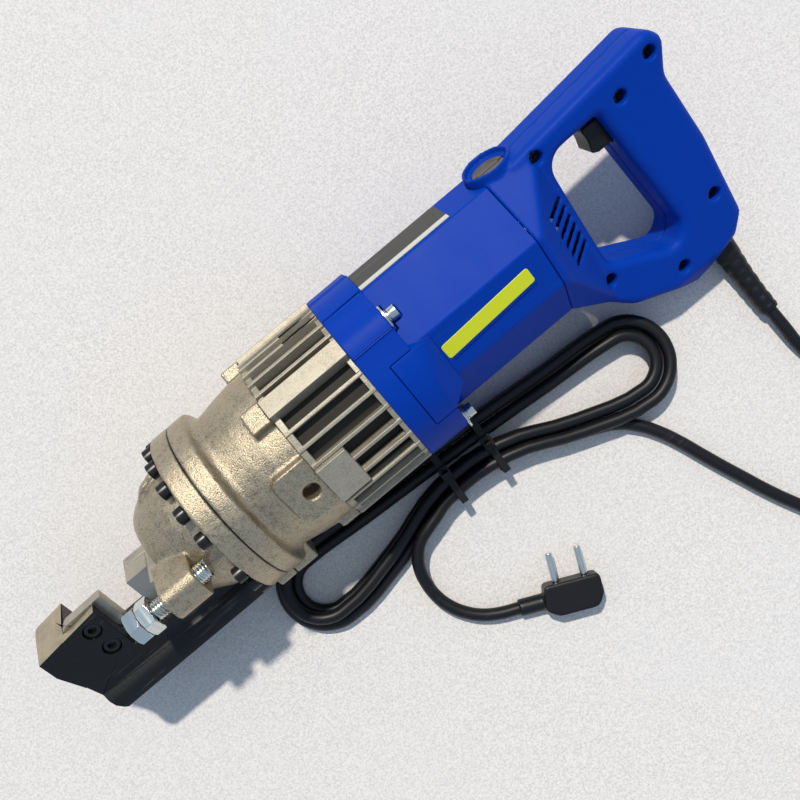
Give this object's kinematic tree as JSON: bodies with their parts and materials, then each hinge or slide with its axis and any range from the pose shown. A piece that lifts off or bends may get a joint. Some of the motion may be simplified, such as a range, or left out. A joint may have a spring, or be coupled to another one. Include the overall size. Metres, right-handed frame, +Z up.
{
  "type": "rebar cutter",
  "caption": "Portable electro-hydraulic rebar cutter: C-shaped jaw with a sliding blade, cylinder castings, ribbed motor housing, D handle and mains cord, lying on its side.",
  "frame": {"origin": "middle of the tool in X and Y without its cord, on the floor it lies on", "axes": "+X from the jaw to the D handle along the tool, +Z up from the floor, so that the near side that the picture shows looks up and towards -Y"},
  "size_m": [0.4996, 0.3359, 0.1144],
  "materials": {
    "black_frame": "satin black paint over forged steel",
    "bare_steel": "bare ground steel",
    "cast_metal": "sand-cast and painted in warm silver",
    "zinc_steel": "zinc plated",
    "black_screw": "black oxide",
    "lamination": "laminated steel",
    "copper": "copper and brass",
    "blue_plastic": "glass-filled nylon, semi-gloss",
    "black_plastic": "black nylon",
    "brown_plastic": "moulded phenolic",
    "black_rubber": "black rubber and PVC",
    "dark_plate": "plain dark metal foil plate",
    "yellow_plate": "plain yellow foil"
  },
  "bodies": {
    "housing": {"cutter_frame": "black_frame", "fixed_blade": "bare_steel", "fixed_blade_screws": "black_screw", "return_spring": "zinc_steel", "cylinder_liner": "bare_steel", "front_casting": "cast_metal", "wiper_seal": "black_rubber", "frame_bolts": "black_screw", "flange_screws": "black_screw", "flange_gasket": "black_rubber", "pump_body": "cast_metal", "oil_bladder": "black_rubber", "pump_block": "cast_metal", "pump_plunger": "bare_steel", "pump_shaft_bearings": "zinc_steel", "armature_bearings": "zinc_steel", "stator_core": "lamination", "motor_housing": "cast_metal", "collar": "blue_plastic", "motor_cover": "blue_plastic", "collar_bolts": "zinc_steel", "collar_washers": "zinc_steel", "rating_plate": "dark_plate", "side_plate": "yellow_plate", "brush_holders": "copper", "carbon_brushes": "black_plastic", "brush_caps": "brown_plastic", "handle_left": "blue_plastic", "handle_right": "blue_plastic", "handle_screws": "black_screw", "trigger_spring": "zinc_steel", "switch_body": "black_plastic", "cord_clamp": "black_plastic", "strain_relief": "black_rubber", "cord_lead": "black_rubber", "cord_hank": "black_rubber", "cord_tail": "black_rubber", "cable_ties": "black_plastic", "plug_body": "black_rubber", "plug_pins": "zinc_steel"},
    "ram": {"ram": "bare_steel", "piston_seal": "black_rubber", "moving_blade": "bare_steel", "moving_blade_screws": "black_screw"},
    "stopper": {"stopper_bolt": "zinc_steel", "stopper_nuts": "zinc_steel"},
    "trigger": {"trigger": "black_plastic"},
    "armature": {"armature_shaft": "bare_steel", "armature_core": "copper", "commutator": "copper", "cooling_fan": "black_plastic"},
    "pump_drive": {"pump_shaft": "bare_steel", "reduction_gear": "bare_steel", "eccentric_bearing": "zinc_steel"}
  },
  "joints": [
    {"name": "ram_slide", "type": "slide", "parent": "housing", "child": "ram", "axis": [-1, 0, 0], "range_m": [-0.012, 0.019], "deforming": ["return_spring"]},
    {"name": "stopper_adjust", "type": "slide", "parent": "housing", "child": "stopper", "axis": [-1, 0, 0], "range_m": [-0.006, 0.008]},
    {"name": "trigger_pull", "type": "slide", "parent": "housing", "child": "trigger", "axis": [1, 0, 0], "range_m": [0, 0.006], "stiffness_N_per_m": 300, "springref_m": -0.004, "deforming": ["trigger_spring"]},
    {"name": "armature_spin", "type": "hinge", "parent": "housing", "child": "armature", "pos_m": [0.01075, 0.03254, 0.056], "axis": [1, 0, 0], "continuous": true},
    {"name": "pump_shaft_spin", "type": "hinge", "parent": "housing", "child": "pump_drive", "pos_m": [-0.04925, 0.01754, 0.04699], "axis": [1, 0, 0], "continuous": true}
  ],
  "couplings": [
    {"joint": "pump_shaft_spin", "follows": "armature_spin", "ratio": -0.375}
  ]
}
